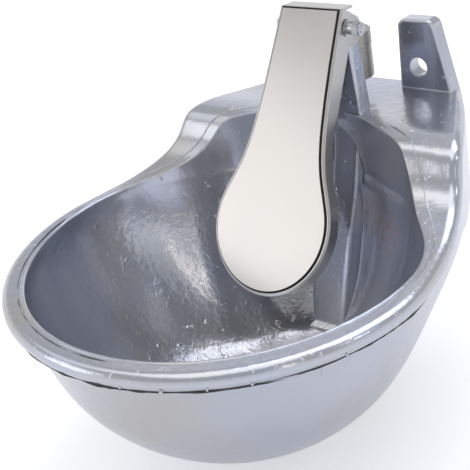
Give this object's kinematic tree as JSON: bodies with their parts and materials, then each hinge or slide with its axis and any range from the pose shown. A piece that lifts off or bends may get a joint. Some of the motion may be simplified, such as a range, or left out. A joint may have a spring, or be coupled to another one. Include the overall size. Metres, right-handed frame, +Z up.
{
  "type": "livestock drinking bowl",
  "caption": "Wall-hung cast drinking bowl with a spoon-shaped pressing tongue, hinged on a tower, that opens a spring-closed water valve.",
  "frame": {"origin": "midway between the two wall bolt holes, on the wall plane that the back of the casting rests on", "axes": "+Z up, +Y into the wall, so the bowl stands out along -Y; +X to the right for someone facing the wall"},
  "size_m": [0.251, 0.2896, 0.2154],
  "materials": {
    "galvanised_casting": "hot-dip galvanised, wet-looking spangle-free zinc",
    "tongue_sheet": "satin stainless sheet",
    "zinc_fastener": "bright zinc plated",
    "nickelled_brass": "nickel plated, worn",
    "stainless": "turned stainless",
    "rubber_black": "matt",
    "white_plastic": "moulded acetal",
    "dark_plastic": "moulded acetal"
  },
  "bodies": {
    "housing": {"bowl_casting": "galvanised_casting", "hinge_bolt": "zinc_fastener", "hinge_nut": "zinc_fastener", "hinge_washers": "zinc_fastener", "hinge_collar": "dark_plastic", "hinge_bushes": "dark_plastic", "valve_body": "nickelled_brass", "valve_gasket": "rubber_black", "valve_lock_nut": "nickelled_brass", "valve_cartridge": "nickelled_brass", "cartridge_o_ring": "rubber_black", "stem_o_ring": "rubber_black", "spring_cage": "white_plastic", "inlet_strainer": "stainless", "valve_spring": "stainless"},
    "tongue": {"tongue": "tongue_sheet"},
    "stem": {"valve_stem": "stainless", "stem_cap": "white_plastic", "valve_seal": "rubber_black", "seal_washer": "stainless", "seal_clip": "stainless"},
    "flow_screw": {"flow_screw": "stainless"}
  },
  "joints": [
    {"name": "tongue_swing", "type": "hinge", "parent": "housing", "child": "tongue", "pos_m": [0, -0.0583, 0.0406], "axis": [1, 0, 0], "range_deg": [0, 5.15]},
    {"name": "valve_slide", "type": "slide", "parent": "housing", "child": "stem", "axis": [0, 1, 0], "range_m": [0, 0.004], "stiffness_N_per_m": 400, "springref_m": -0.006, "deforming": ["valve_spring"]},
    {"name": "flow_turn", "type": "hinge", "parent": "housing", "child": "flow_screw", "pos_m": [-0.014, -0.0277, 0.0045], "axis": [1, 0, 0], "range_deg": [0, 270]}
  ],
  "couplings": [
    {"joint": "valve_slide", "follows": "tongue_swing", "m_per_rad": 0.0442}
  ]
}
